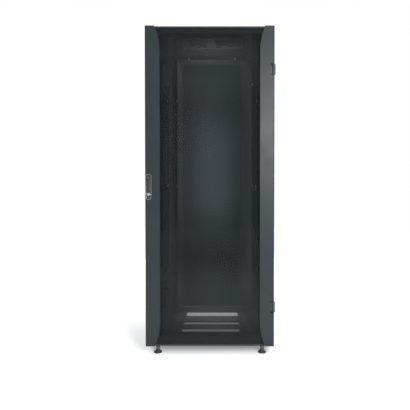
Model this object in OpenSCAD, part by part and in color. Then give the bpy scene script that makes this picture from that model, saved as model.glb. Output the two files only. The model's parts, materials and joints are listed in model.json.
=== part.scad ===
// Floor-standing 19-inch network cabinet, 42 units, with a glazed front door.
// X runs to the right seen from the front, Y to the back, Z up. The origin is on the floor under the middle.

/* [Cabinet] */
// Width over the doors
cabinet_w = 800; // [780:1:900]
// Depth from the front door's face to the rear door's face
cabinet_d = 800; // [760:1:1200]
// Height from the floor to the top of the roof
cabinet_h = 2043; // [2035:1:2400]
// Height of the base frame's lower edge above the floor
foot_gap = 48; // [46:1:75]
// Thickness of the frame's sheet steel
frame_wall = 2; // [1.5:0.1:2.5]
// Width of the frame's profiles
frame_w = 36; // [34:1:40]
// Height of the base frame
base_h = 65; // [60:1:80]
// Height of the top frame
top_h = 35; // [30:1:45]

/* [Mounting rails] */
// Number of height units
rack_units = 42; // [36:1:42]
// Height of one unit
unit_h = 44.45; // [44.45]
// Clear width between the rails
rail_clear_w = 450; // [450]
// Distance between the hole rows, centre to centre
hole_row_w = 465.1; // [465.1]
// Side of the square holes
square_hole = 9.5; // [9:0.1:9.7]
// Distance of each rail's face from the middle of the cabinet
rail_y = 300; // [200:1:310]
// Width of a rail's face
rail_face_w = 40; // [36:1:45]
// Depth of a rail
rail_depth = 45; // [40:1:50]
// Thickness of the rails
rail_t = 2.5; // [2:0.1:3]

/* [Base and roof] */
// Height of the base panel's underside above the floor
floor_panel_z = 73; // [70:1:78]
// Width of the cable opening in the base panel
base_slot_w = 390; // [300:1:400]
// Depth of the sliding plate
slide_d = 166; // [140:1:170]
// Outer size of a fan
fan_size = 120; // [120]
// Distance of the fans' centres from the middle, sideways
fan_x = 90; // [80:1:120]
// Position of the fans' centres, front to back
fan_y = -80; // [-120:1:0]
// Number of blades of a fan
fan_blades = 7; // [5:1:9]

/* [Front door] */
// Width of the steel strips
strip_w = 90; // [80:1:95]
// How far the strips' inner edges curve outwards at each end
arc_w = 33; // [20:1:36]
// Height over which they curve
arc_h = 150; // [100:1:200]
// Thickness of the glass
glass_t = 5; // [4:0.5:5]
// Radius of the strips' outer edges
strip_round = 8; // [5:1:10]
// Height of the upper hinge's middle above the floor
hinge_high_z = 1774; // [1500:1:1900]
// Height of the lower hinge's middle above the floor
hinge_low_z = 303; // [200:1:500]

/* [Handle and latch] */
// Height of the handle's pivot above the floor
pivot_z = 1106; // [900:1:1300]
// Distance of the lock below the pivot
lock_drop = 101; // [95:1:110]
// Length of the handle's base
handle_h = 158; // [150:1:170]
// Width of the handle's base
handle_w = 34; // [30:1:38]
// Module of the latch gear
gear_module = 1.5; // [1.5]
// Number of teeth of the pinion, an odd number
pinion_teeth = 17; // [17]
// Radius of the latch rods
rod_r = 4; // [3:0.5:4]

/* [Feet] */
// Distance of the feet from the middle, sideways
foot_x = 330; // [300:1:340]
// Radius of a foot's pad
foot_pad_r = 25.5; // [20:0.5:30]
// Radius of a foot's stud
foot_stud_r = 8; // [6:0.5:9]

/* [Colours] */
// Powder coat of the doors and panels
coat = "#3c4144"; // color
// Powder coat of the frame
frame_coat = "#2b2e30"; // color
// Zinc plating
zinc = "#b4b8bb"; // color
// Chromium plating
chrome = "#d5d8da"; // color
// Rubber and dark plastic
rubber = "#1b1c1d"; // color
// Smoked glass
smoke = [0.13, 0.16, 0.17, 0.55]; // [0:0.01:1]

/* [Hidden] */
$fn = 48;
LEFT = -1;
RIGHT = 1;
FRONT = -1;
REAR = 1;
slack = 1; // how far a cut runs past the face that it opens
running = 0.05; // radial clearance of a running fit

// Planes of the doors and of the frame
door_x = cabinet_w / 2;
face_y = cabinet_d / 2;
door_depth = 34;
door_back = face_y - door_depth;
frame_x = door_x - 18;
frame_y = face_y - 40;
in_x = frame_x - frame_w;
in_y = frame_y - frame_w;
base_z0 = foot_gap;
base_z1 = base_z0 + base_h;
roof_t = 2;
top_z1 = cabinet_h - roof_t;
top_z0 = top_z1 - top_h;
ledge_w = 14;

// Rails, braces and brackets
rail_z0 = base_z1 + 2;
rail_z1 = top_z0 - 2;
bay_h = rack_units * unit_h;
bay_z0 = (rail_z0 + rail_z1 - bay_h) / 2;
rail_in = rail_clear_w / 2;
rail_out = rail_in + rail_face_w;
unit_holes = [6.35, 22.225, 38.1];
brace_h = 40;
brace_z = [for (k = [-1, 0, 1]) (base_z1 + top_z0) / 2 + k * 650];
bracket_t = 3;
bracket_y0 = rail_y - rail_depth + 5;
bracket_y1 = rail_y - 5;
bolt_y = (bracket_y0 + bracket_y1) / 2;
bolt_r = 4;
bolt_hole_r = 4.2;
bolt_head_r = 7.5;
bolt_head_h = 5.3;

// Base plates and roof
sheet = 1.5;
plate_z = floor_panel_z + sheet;
slot_front = -160;
slot_rear = in_y - ledge_w - 4;
cover_y = [-115, 0];
slide_y = 40;
cover_x = base_slot_w / 2 + 20;
guide_gap = 0.3;
skirt_h = 19;
side_panel_z = [foot_gap + 4, cabinet_h - skirt_h - 2];
tray = [400, 260];
fan_h = 25;
tray_z = top_z1 - roof_t;
fan_z = tray_z - fan_h;
fan_bore_r = 57;
fan_hub_r = 18;
fan_pin_r = 3;
cable_slot = [300, 60];
cable_slot_y = 270;
eyebolt_r = 6.5;
anchor_r = 5.5;
anchor_x = 250;
post_x = frame_x - frame_w / 2;
foot_y = frame_y - frame_w / 2;

// Front door
door_z0 = foot_gap + 10;
door_z1 = cabinet_h - 2;
strip_x = door_x - strip_w;
arc_r = (arc_w * arc_w + arc_h * arc_h) / (2 * arc_w);
strip_depth = 15;
seal_t = 2;
glass_y = -face_y + strip_depth + seal_t;
glass_x = door_x - 48;
rail_bar_h = 10;
flange_w = 14;

// Hinges
hinge_x = door_x - 3;
hinge_y = face_y - 10;
hinge_r = 9;
hinge_pin_r = 4;
hinge_half = 35;
arm_t = 6;
arm_z = 26;
notch_x = door_x - 24;

// Handle and latch gear
handle_x = -(door_x - 23);
lock_z = pivot_z - lock_drop;
base_t = 8;
lever_y = -face_y - base_t - 1;
lever_t = 10;
lever_w = 20;
lever_len = 87;
yoke_w = 10;
lever_pin_r = 2;
spindle_r = 6;
tail_r = 4;
collar_r = 9;
plug_r = 6;
pitch_r = gear_module * pinion_teeth / 2;
pitch = PI * gear_module;
pressure = 20;
gear_y0 = -face_y + 4;
gear_y1 = gear_y0 + 6;
backlash = 0.25;
rod_y = gear_y0 + 4;
keeper_high_z = top_z0 + 11;
keeper_low_z = base_z0 + 32;
keeper_t = 2.5;
rod_stop = 1.5;
guide_z = [368, 788, 1388, 1888];
tongue_len = 10;
housing_y = gear_y1 + 2;
housing_t = 2;
rack_back = 4.4;

// Side latches and rear lock
side_latch_z = top_z0 - 44;
side_latch_r = 7;
rear_lock_x = in_x - 24;
rear_lock_z = 1048;
rear_spindle_r = 8;
cam_len = 24;

// ---------------------------------------------------------------- building blocks

// Box from its lowest corner to its highest one
module box(low, high) {
    translate(low) cube(high - low);
}

// Box that is symmetric about the middle plane X = 0
module wide_box(half_x, low, high) {
    box([-half_x, low[0], low[1]], [half_x, high[0], high[1]]);
}

// Round bars along each axis
module bar_x(y, z, x0, x1, r) {
    translate([x0, y, z]) rotate([0, 90, 0]) cylinder(r = r, h = x1 - x0);
}

module bar_y(x, z, y0, y1, r) {
    translate([x, y0, z]) rotate([-90, 0, 0]) cylinder(r = r, h = y1 - y0);
}

module bar_z(x, y, z0, z1, r) {
    translate([x, y, z0]) cylinder(r = r, h = z1 - z0);
}

// Its children, for the left or the right side
module on_side(side) {
    mirror([side < 0 ? 1 : 0, 0, 0]) children();
}

// Its children, for the front or the rear
module on_end(end) {
    mirror([0, end < 0 ? 1 : 0, 0]) children();
}

// ---------------------------------------------------------------- frame

// Base frame: a channel open below, with a ledge inside that carries the base panel. The rear
// beam is cut away below the panel, so that cables pass under it.
module base_frame() {
    web_x = in_x + frame_wall;
    web_y = in_y + frame_wall;
    ledge_z = floor_panel_z - frame_wall;
    entry_x = base_slot_w / 2 + 1;
    color(frame_coat) difference() {
        box([-frame_x, -frame_y, base_z0], [frame_x, frame_y, base_z1]);
        difference() {
            box([-frame_x + frame_wall, -frame_y + frame_wall, base_z0 - slack],
                [frame_x - frame_wall, frame_y - frame_wall, base_z1 - frame_wall]);
            box([-web_x, -web_y, ledge_z], [web_x, web_y, base_z1]);
        }
        box([-in_x, -in_y, floor_panel_z], [in_x, in_y, base_z1 + slack]);
        box([-in_x + ledge_w, -in_y + ledge_w, ledge_z - slack],
            [in_x - ledge_w, in_y - ledge_w, base_z1]);
        for (x = [-anchor_x, anchor_x], y = [-foot_y, foot_y])
            bar_z(x, y, base_z1 - frame_wall - slack, base_z1 + slack, anchor_r);
        wide_box(entry_x, [in_y - slack, base_z0 - slack], [frame_y + slack, ledge_z]);
    }
}

// Top frame: a channel open below, with a lip on each side that the side latches catch
module top_frame() {
    lip_h = 20;
    lip_half = 45;
    color(frame_coat) {
        difference() {
            box([-frame_x, -frame_y, top_z0], [frame_x, frame_y, top_z1]);
            difference() {
                box([-frame_x + frame_wall, -frame_y + frame_wall, top_z0 - slack],
                    [frame_x - frame_wall, frame_y - frame_wall, top_z1 - frame_wall]);
                box([-in_x - frame_wall, -in_y - frame_wall, top_z0 - 2 * slack],
                    [in_x + frame_wall, in_y + frame_wall, top_z1]);
            }
            box([-in_x, -in_y, top_z0 - slack], [in_x, in_y, top_z1 + slack]);
            for (x = [-post_x, post_x], y = [-foot_y, foot_y])
                bar_z(x, y, top_z1 - frame_wall - slack, top_z1 + slack, eyebolt_r);
        }
        for (side = [LEFT, RIGHT]) on_side(side)
            box([frame_x - frame_wall, -lip_half, top_z0 - lip_h], [frame_x, lip_half, top_z0]);
    }
}

// Corner post: a square tube with punched holes in two faces
module corner_post(side, end) {
    punch_pitch = 75;
    punch = 9.5;
    punches = floor((top_z0 - base_z1 - 60) / punch_pitch);
    mid_z = (base_z1 + top_z0) / 2;
    color(frame_coat) on_side(side) on_end(end) difference() {
        box([in_x, in_y, base_z1], [frame_x, frame_y, top_z0]);
        box([in_x + frame_wall, in_y + frame_wall, base_z1 - slack],
            [frame_x - frame_wall, frame_y - frame_wall, top_z0 + slack]);
        for (k = [0 : punches]) {
            z = mid_z + (k - punches / 2) * punch_pitch;
            translate([in_x + frame_wall / 2, foot_y, z]) cube([2 * frame_wall, punch, punch], center = true);
            translate([post_x, frame_y - frame_wall / 2, z])
                cube([punch, 2 * frame_wall, punch], center = true);
        }
    }
}

// Depth braces: channels between the front and rear posts, with slots for the brackets
module depth_braces() {
    brace_x = frame_x - 4;
    slot_pitch = 50;
    slot = [30, 9];
    color(frame_coat) for (side = [LEFT, RIGHT], z = brace_z) on_side(side) difference() {
        box([in_x, -in_y, z - brace_h / 2], [brace_x, in_y, z + brace_h / 2]);
        box([in_x + frame_wall, -in_y - slack, z - brace_h / 2 + frame_wall],
            [brace_x + slack, in_y + slack, z + brace_h / 2 - frame_wall]);
        for (end = [FRONT, REAR], k = [0 : 5])
            translate([in_x + frame_wall / 2, end * (bolt_y - k * slot_pitch), z])
                cube([2 * frame_wall, slot[0], slot[1]], center = true);
    }
}

// Brackets between the depth braces and the rails: a web below two bolted flanges
module rail_bracket(z) {
    leg = 18;
    flange_x = [rail_out, in_x - bracket_t];
    difference() {
        union() {
            box([rail_out, bracket_y0, z - leg], [in_x, bracket_y1, z - leg + bracket_t]);
            for (x = flange_x) box([x, bracket_y0, z - leg], [x + bracket_t, bracket_y1, z + leg]);
        }
        for (x = flange_x) bar_x(bolt_y, z, x - slack, x + bracket_t + slack, bolt_hole_r);
    }
}

module rail_brackets() {
    color(frame_coat) for (side = [LEFT, RIGHT], end = [FRONT, REAR], z = brace_z)
        on_side(side) on_end(end) rail_bracket(z);
}

// Bolt along X with its head at x1 and its nut at x0, each on the outside of the sheets between
module hex_bolt(x0, x1, z) {
    bar_x(bolt_y, z, x0 - bolt_head_h, x1 + bolt_head_h, bolt_r);
    for (x = [x0 - bolt_head_h, x1])
        translate([x, bolt_y, z]) rotate([0, 90, 0]) cylinder(r = bolt_head_r, h = bolt_head_h, $fn = 6);
}

module bracket_bolts() {
    color(zinc) for (side = [LEFT, RIGHT], end = [FRONT, REAR], z = brace_z) on_side(side) on_end(end) {
        hex_bolt(rail_out - rail_t, rail_out + bracket_t, z);
        hex_bolt(in_x - bracket_t, in_x + frame_wall, z);
    }
}

// 19-inch rail: a folded profile with three square holes in each unit
module mounting_rail(side, end) {
    lip = 15;
    color(frame_coat) on_side(side) on_end(end) difference() {
        union() {
            box([rail_in, rail_y - rail_t, rail_z0], [rail_out, rail_y, rail_z1]);
            box([rail_out - rail_t, rail_y - rail_depth, rail_z0], [rail_out, rail_y, rail_z1]);
            box([rail_out - lip, rail_y - rail_depth, rail_z0],
                [rail_out, rail_y - rail_depth + rail_t, rail_z1]);
        }
        for (u = [0 : rack_units - 1], h = unit_holes)
            translate([hole_row_w / 2, rail_y - rail_t / 2, bay_z0 + u * unit_h + h])
                cube([square_hole, 2 * rail_t, square_hole], center = true);
        for (z = brace_z) bar_x(bolt_y, z, rail_out - rail_t - slack, rail_out + slack, bolt_hole_r);
    }
}

// ---------------------------------------------------------------- base

// Base panel on the base frame's ledge, with the opening for the cables
module base_panel() {
    edge_gap = 1;
    color(frame_coat) difference() {
        wide_box(in_x - edge_gap, [-in_y + edge_gap, floor_panel_z], [in_y - edge_gap, plate_z]);
        wide_box(base_slot_w / 2, [slot_front, floor_panel_z - slack], [slot_rear, plate_z + slack]);
    }
}

module base_cover() {
    color(frame_coat) wide_box(cover_x, [cover_y[0], plate_z], [cover_y[1], plate_z + sheet]);
}

// Sliding plate with a turned-up edge to pull it by
module base_slide() {
    grip_h = 13;
    half_x = cover_x - 1;
    low_z = plate_z + guide_gap;
    color(frame_coat) {
        wide_box(half_x, [slide_y, low_z], [slide_y + slide_d, low_z + sheet]);
        wide_box(half_x - grip_h, [slide_y, low_z], [slide_y + sheet, low_z + grip_h]);
    }
}

module slide_guides() {
    guide_out = cover_x + 17;
    spacer_z = plate_z + sheet + 2 * guide_gap + 0.2;
    color(frame_coat) for (side = [LEFT, RIGHT]) on_side(side) {
        box([cover_x, slide_y - 4, plate_z], [guide_out, in_y - 6, spacer_z]);
        box([cover_x - 9, slide_y - 4, spacer_z], [guide_out, in_y - 6, spacer_z + sheet]);
    }
}

// ---------------------------------------------------------------- roof

// Roof panel: a shallow pan with openings for the fans and the cables and holes for the eyebolts
module roof_panel() {
    over_x = door_x - 2;
    over_y = frame_y + roof_t;
    rim = 15;
    low_z = top_z1 - slack;
    high_z = cabinet_h + slack;
    color(coat) difference() {
        box([-over_x, -over_y, cabinet_h - skirt_h], [over_x, over_y, cabinet_h]);
        box([-over_x + roof_t, -over_y + roof_t, cabinet_h - skirt_h - slack],
            [over_x - roof_t, over_y - roof_t, top_z1]);
        wide_box(tray[0] / 2 - rim, [fan_y - tray[1] / 2 + rim, low_z], [fan_y + tray[1] / 2 - rim, high_z]);
        wide_box(cable_slot[0] / 2, [cable_slot_y - cable_slot[1] / 2, low_z],
            [cable_slot_y + cable_slot[1] / 2, high_z]);
        for (x = [-post_x, post_x], y = [-foot_y, foot_y]) bar_z(x, y, low_z, high_z, eyebolt_r);
    }
}

// Rubber edging of the roof's cable opening, with a flange under the panel
module roof_grommet() {
    bead = 4;
    flange = 5;
    half_y = cable_slot[1] / 2;
    color(rubber) difference() {
        union() {
            wide_box(cable_slot[0] / 2, [cable_slot_y - half_y, top_z1 - roof_t],
                [cable_slot_y + half_y, cabinet_h]);
            wide_box(cable_slot[0] / 2 + flange, [cable_slot_y - half_y - flange, top_z1 - roof_t],
                [cable_slot_y + half_y + flange, top_z1]);
        }
        wide_box(cable_slot[0] / 2 - bead, [cable_slot_y - half_y + bead, top_z1 - roof_t - slack],
            [cable_slot_y + half_y - bead, cabinet_h + slack]);
    }
}

// Fan tray under the roof opening: a sheet with turned-down edges and two round holes
module fan_tray() {
    edge_h = 12;
    half = [tray[0] / 2, tray[1] / 2];
    color(frame_coat) difference() {
        wide_box(half[0], [fan_y - half[1], top_z1 - edge_h], [fan_y + half[1], top_z1]);
        wide_box(half[0] - roof_t, [fan_y - half[1] + roof_t, top_z1 - edge_h - slack],
            [fan_y + half[1] - roof_t, tray_z]);
        for (x = [-fan_x, fan_x]) bar_z(x, fan_y, tray_z - slack, top_z1 + slack, fan_bore_r);
    }
}

// Fan frame: a square ring, three struts, the motor seat and the rotor's pin
module fan_housings() {
    seat_h = 3;
    strut_w = 6;
    half = fan_size / 2;
    color(rubber) for (x = [-fan_x, fan_x]) translate([x, fan_y, fan_z]) {
        difference() {
            box([-half, -half, 0], [half, half, fan_h]);
            translate([0, 0, -slack]) cylinder(r = fan_bore_r, h = fan_h + 2 * slack);
        }
        cylinder(r = fan_hub_r + 1, h = seat_h);
        for (k = [0 : 2]) rotate([0, 0, 90 + 120 * k])
            box([fan_hub_r, -strut_w / 2, 0], [fan_bore_r + slack, strut_w / 2, seat_h]);
        cylinder(r = fan_pin_r, h = fan_h - 10);
    }
}

// Fan rotor: a hub with inclined blades, bored for the pin
module fan_rotor(side) {
    low_z = 3.5;
    hub_h = 19;
    blade_r = fan_bore_r - 3;
    blade_h = 16;
    blade_w = 30;
    blade_t = 1.8;
    tilt = 35;
    color(rubber) translate([side * fan_x, fan_y, fan_z + low_z]) difference() {
        union() {
            cylinder(r = fan_hub_r, h = hub_h);
            for (k = [0 : fan_blades - 1]) rotate([0, 0, k * 360 / fan_blades]) intersection() {
                translate([0, 0, (hub_h - blade_h) / 2]) cylinder(r = blade_r, h = blade_h);
                translate([0, 0, hub_h / 2]) rotate([tilt, 0, 0])
                    box([fan_hub_r - 2, -blade_w / 2, -blade_t / 2], [fan_bore_r, blade_w / 2, blade_t / 2]);
            }
        }
        translate([0, 0, -slack]) cylinder(r = fan_pin_r + running, h = hub_h - 3 + slack);
    }
}

// Finger guards on top of the tray: flat rings on two crossed bars
module fan_guards() {
    bar_w = 3;
    ring_w = 2.5;
    color(zinc) for (x = [-fan_x, fan_x]) translate([x, fan_y, top_z1]) {
        for (a = [45, 135]) rotate([0, 0, a]) box([-fan_bore_r - 5, -bar_w / 2, 0], [fan_bore_r + 5, bar_w / 2, 1]);
        for (r = [14 : 12 : 50]) translate([0, 0, 1]) difference() {
            cylinder(r = r + ring_w, h = 1);
            translate([0, 0, -slack]) cylinder(r = r, h = 1 + 2 * slack);
        }
    }
}

// Earth studs under the roof, each with its nut
module earth_studs() {
    stud_x = 175;
    stud_y = 266;
    color(zinc) for (x = [-stud_x, stud_x]) translate([x, stud_y, top_z1]) {
        mirror([0, 0, 1]) cylinder(r = 3, h = 26);
        translate([0, 0, -15]) cylinder(r = 7, h = 6, $fn = 6);
    }
}

// Pan heads of the screws that hold the cover plate, the slide's guides and the fan tray
module panel_screws() {
    head_r = 4;
    head_h = 2;
    guide_z = plate_z + 2 * sheet + 2 * guide_gap + 0.2;
    color(zinc) for (x = [-1, 1]) {
        for (y = [cover_y[0] + 12, cover_y[1] - 12])
            bar_z(x * (cover_x - 9), y, plate_z + sheet, plate_z + sheet + head_h, head_r);
        for (y = [slide_y + 20, in_y - 30]) bar_z(x * (cover_x + 9), y, guide_z, guide_z + head_h, head_r);
        for (y = [fan_y - tray[1] / 2 + 8, fan_y + tray[1] / 2 - 8])
            bar_z(x * (tray[0] / 2 - 8), y, tray_z - head_h, tray_z, head_r);
    }
}

// ---------------------------------------------------------------- feet

// Nut blocks welded into the base frame's channel
module foot_nuts() {
    half_x = 22;
    low_z = base_z0 + 2;
    high_z = base_z0 + 20;
    color(zinc) for (side = [LEFT, RIGHT], end = [FRONT, REAR]) on_side(side) on_end(end) difference() {
        box([foot_x - half_x, in_y + frame_wall, low_z], [foot_x + half_x, frame_y - frame_wall, high_z]);
        bar_z(foot_x, foot_y, low_z - slack, high_z + slack, foot_stud_r + running);
    }
}

// Levelling foot: a bell-shaped pad moulded on a steel stud with a hexagon to turn it by
module levelling_foot(side, end) {
    pad_h = 30;
    hex_z = 33;
    hex_h = 8;
    hex_r = 13.5;
    neck_r = 10;
    color(rubber) translate([side * foot_x, end * foot_y, 0]) {
        rotate_extrude() polygon([
            [0, 0], [foot_pad_r - 4, 0], [foot_pad_r, 4], [foot_pad_r, 7], [foot_pad_r - 3, 10],
            [neck_r + 3, 20], [neck_r, pad_h], [0, pad_h]
        ]);
        cylinder(r = foot_stud_r, h = base_z1 - 8);
        translate([0, 0, hex_z]) cylinder(r = hex_r, h = hex_h, $fn = 6);
    }
}

// ---------------------------------------------------------------- door hinges

// Frame half of a hinge at the right front corner: plate, two arms and the fixed pin
module hinge_bracket(z) {
    plate_t = 3;
    plate_half = arm_z + arm_t;
    box([notch_x - 24, -frame_y - plate_t, z - plate_half], [door_x - 12, -frame_y, z + plate_half]);
    for (low = [z - plate_half, z + arm_z]) {
        box([notch_x + 3, -hinge_y, low], [hinge_x, -frame_y - plate_t, low + arm_t]);
        bar_z(hinge_x, -hinge_y, low, low + arm_t, hinge_r);
    }
    bar_z(hinge_x, -hinge_y, z - plate_half, z + plate_half, hinge_pin_r);
}

// Door half of a hinge: the knuckle on its leaf, which is set back and packed out from the strip
module hinge_knuckle(z) {
    half = arm_z - 0.3;
    leaf_half = 24;
    leaf_t = 3;
    leaf_x = [notch_x - 18, notch_x - 2];
    leaf_y = -hinge_y + 3.5;
    difference() {
        union() {
            bar_z(hinge_x, -hinge_y, z - half, z + half, hinge_r);
            box([leaf_x[0], leaf_y, z - leaf_half], [hinge_x, leaf_y + leaf_t, z + leaf_half]);
            box([leaf_x[0], -face_y + sheet, z - leaf_half], [leaf_x[1], leaf_y, z + leaf_half]);
        }
        bar_z(hinge_x, -hinge_y, z - half - slack, z + half + slack, hinge_pin_r + running);
    }
}

module front_hinge_brackets() {
    color(frame_coat) for (z = [hinge_low_z, hinge_high_z]) hinge_bracket(z);
}

module front_hinge_knuckles() {
    color(frame_coat) for (z = [hinge_low_z, hinge_high_z]) hinge_knuckle(z);
}

module rear_hinge_brackets() {
    color(frame_coat) rotate([0, 0, 180]) for (z = [hinge_low_z, hinge_high_z]) hinge_bracket(z);
}

module rear_hinge_knuckles() {
    color(frame_coat) rotate([0, 0, 180]) for (z = [hinge_low_z, hinge_high_z]) hinge_knuckle(z);
}

// Cuts that make room for the hinges in the edge of a door at the right front corner
module hinge_notches() {
    for (z = [hinge_low_z, hinge_high_z])
        box([notch_x, -face_y - slack, z - hinge_half], [door_x + slack, -door_back + slack, z + hinge_half]);
}

// ---------------------------------------------------------------- front door

// Solid in the outline of the right strip, each edge moved in by inset, from y0 to y1
module strip_form(inset, y0, y1) {
    round_x = door_x - strip_round;
    round_y = -face_y + strip_round;
    difference() {
        box([strip_x + inset, y0, door_z0 + inset], [door_x - inset, y1, door_z1 - inset]);
        for (end = [0, 1]) arc_cut(end, inset, y0, y1);
        difference() {
            box([round_x, -face_y - slack, door_z0], [door_x, round_y, door_z1]);
            bar_z(round_x, round_y, door_z0 - slack, door_z1 + slack, strip_round - inset);
        }
    }
}

// What the inner edge's curve takes off, at the bottom (0) or at the top (1)
module arc_cut(end, inset, y0, y1) {
    start_z = end == 1 ? door_z1 - arc_h : door_z0 + arc_h;
    low_z = end == 1 ? start_z : door_z0 - slack;
    high_z = end == 1 ? door_z1 + slack : start_z;
    difference() {
        box([strip_x - slack, y0 - slack, low_z], [strip_x + arc_w + 8, y1 + slack, high_z]);
        bar_y(strip_x + arc_r, start_z, y0 - 2 * slack, y1 + 2 * slack, arc_r - inset);
    }
}

// Folded strip at the right: a curved face, its returns and a flange at the back
module door_strip() {
    deep_x = glass_x + 5;
    difference() {
        strip_form(0, -face_y, -face_y + strip_depth);
        strip_form(sheet, -face_y + sheet, -face_y + strip_depth + slack);
    }
    box([door_x - sheet, -face_y + strip_round, door_z0], [door_x, -door_back, door_z1]);
    box([door_x - flange_w, -door_back - sheet, door_z0], [door_x, -door_back, door_z1]);
    for (z = [door_z0, door_z1 - sheet])
        box([deep_x, -face_y + strip_round, z], [door_x, -door_back, z + sheet]);
}

module door_strip_right() {
    color(coat) difference() {
        door_strip();
        hinge_notches();
    }
}

module door_strip_left() {
    color(coat) difference() {
        on_side(LEFT) door_strip();
        bar_y(handle_x, pivot_z, -face_y - slack, -face_y + sheet + slack, spindle_r + 0.5);
    }
}

module door_glass() {
    edge_z = 2.5;
    color(smoke) wide_box(glass_x, [glass_y, door_z0 + edge_z], [glass_y + glass_t, door_z1 - edge_z]);
}

// Seal between the strips and the glass, along the strips' inner edges
module glass_seal() {
    seal_w = 6;
    color(rubber) for (side = [LEFT, RIGHT]) on_side(side) intersection() {
        difference() {
            strip_form(0, glass_y - seal_t, glass_y);
            strip_form(seal_w, glass_y - seal_t - slack, glass_y + slack);
        }
        box([strip_x - slack, glass_y - seal_t - slack, door_z0 + rail_bar_h],
            [glass_x - 1, glass_y + slack, door_z1 - rail_bar_h]);
    }
}

// Thin channel over the top (1) or under the bottom (0) edge of the glass
module door_rail(end) {
    wall = 2;
    low_z = end == 1 ? door_z1 - rail_bar_h : door_z0;
    grip_z = end == 1 ? low_z - slack : low_z + 2.5;
    grip_h = rail_bar_h - 2.5 + slack;
    half_x = glass_x + 3;
    color(coat) difference() {
        wide_box(half_x, [glass_y - wall, low_z], [glass_y + glass_t + wall, low_z + rail_bar_h]);
        wide_box(half_x + slack, [glass_y, grip_z], [glass_y + glass_t, grip_z + grip_h]);
    }
}

// ---------------------------------------------------------------- handle and latch

// Handle base: a plate with a pointed lower end, a dish behind the lever and a pocket for the lock's tongue
module handle_base() {
    half_w = handle_w / 2;
    top = 21;
    bottom = top - handle_h;
    chamfer = 7;
    tip = 10;
    front_y = -face_y - base_t;
    dish_half = 10;
    color(rubber) difference() {
        translate([handle_x, -face_y, pivot_z]) rotate([90, 0, 0]) linear_extrude(height = base_t) polygon([
            [0, bottom], [half_w - 2, bottom + tip], [half_w, bottom + tip + 4], [half_w, top - chamfer],
            [half_w - chamfer, top], [chamfer - half_w, top], [-half_w, top - chamfer],
            [-half_w, bottom + tip + 4], [2 - half_w, bottom + tip]
        ]);
        bar_y(handle_x, pivot_z, front_y - slack, -face_y + slack, spindle_r + running);
        bar_y(handle_x, lock_z, front_y - slack, -face_y + slack, collar_r);
        bar_y(handle_x, lock_z, front_y + base_t / 2, -face_y + slack, tongue_len + 1);
        box([handle_x - dish_half, front_y - slack, pivot_z - lever_len + 3],
            [handle_x + dish_half, front_y + base_t / 2, pivot_z - 22]);
    }
}

// Spindle with the yoke that carries the lever's pin, the pinion and the tail in its bearing
module handle_spindle() {
    yoke_half_z = 6;
    pin_y = lever_y - lever_t / 2;
    color(zinc) {
        box([handle_x - yoke_w / 2, lever_y - lever_t, pivot_z - yoke_half_z],
            [handle_x + yoke_w / 2, lever_y + 0.4, pivot_z + yoke_half_z]);
        bar_x(pin_y, pivot_z, handle_x - lever_w / 2, handle_x + lever_w / 2, lever_pin_r);
        bar_y(handle_x, pivot_z, lever_y, gear_y0, spindle_r);
        translate([handle_x, gear_y1, pivot_z]) rotate([90, 0, 0])
            linear_extrude(height = gear_y1 - gear_y0) polygon(pinion_outline());
        bar_y(handle_x, pivot_z, gear_y1, housing_y + housing_t + 0.5, tail_r);
    }
}

// Lever: a bar with a round upper end, forked over the yoke
module handle_lever() {
    pin_y = lever_y - lever_t / 2;
    fork_half = yoke_w / 2 + 0.4;
    fork_z = pivot_z - 9;
    color(rubber) difference() {
        union() {
            box([handle_x - lever_w / 2, lever_y - lever_t, pivot_z - lever_len],
                [handle_x + lever_w / 2, lever_y, pivot_z]);
            bar_x(pin_y, pivot_z, handle_x - lever_w / 2, handle_x + lever_w / 2, lever_t / 2);
        }
        box([handle_x - fork_half, lever_y - lever_t - slack, fork_z],
            [handle_x + fork_half, lever_y + slack, pivot_z + lever_t]);
        bar_x(pin_y, pivot_z, handle_x - lever_w, handle_x + lever_w, lever_pin_r + running);
    }
}

// Bright collar of the lock, pressed into the handle base
module lock_collar() {
    front_y = -face_y - base_t - 1.5;
    color(chrome) difference() {
        bar_y(handle_x, lock_z, front_y, -face_y - base_t / 2, collar_r);
        bar_y(handle_x, lock_z, front_y - slack, -face_y + slack, plug_r + running);
    }
}

// Lock plug with its key slot and, at the back, the tongue that holds the lever's tip
module lock_plug() {
    front_y = -face_y - base_t - 2;
    tongue_y = -face_y - base_t / 2 + 0.3;
    tongue_half = 3;
    key = [1.2, 7, 4];
    color(chrome) difference() {
        union() {
            bar_y(handle_x, lock_z, front_y, -face_y - 0.3, plug_r);
            box([handle_x - tongue_half, tongue_y, lock_z],
                [handle_x + tongue_half, -face_y - 0.3, lock_z + tongue_len]);
        }
        box([handle_x - key[0] / 2, front_y - slack, lock_z - key[1] / 2],
            [handle_x + key[0] / 2, front_y + key[2], lock_z + key[1] / 2]);
    }
}

// Point at radius r and angle a
function polar(r, a) = [r * cos(a), r * sin(a)];

// Involute of an angle, in degrees
function inv(a) = tan(a) * 180 / PI - a;

// Half the angle that a pinion tooth takes at radius r
function tooth_half(r) =
    let (base_r = pitch_r * cos(pressure))
    (pitch / 4 - backlash / 4) / pitch_r * 180 / PI + inv(pressure) - inv(acos(min(1, base_r / r)));

// Pinion outline with involute flanks, a tooth pointing along +X
function pinion_outline() =
    let (
        root_r = pitch_r - 1.25 * gear_module,
        tip_r = pitch_r + gear_module,
        base_r = pitch_r * cos(pressure),
        steps = 4,
        flank = [for (k = [0 : steps]) base_r + (tip_r - base_r) * k / steps]
    )
    [for (t = [0 : pinion_teeth - 1]) let (a = t * 360 / pinion_teeth) each concat(
        [polar(root_r, a - tooth_half(base_r))],
        [for (r = flank) polar(r, a - tooth_half(r))],
        [for (k = [steps : -1 : 0]) polar(flank[k], a + tooth_half(flank[k]))],
        [polar(root_r, a + tooth_half(base_r))]
    )];

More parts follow.
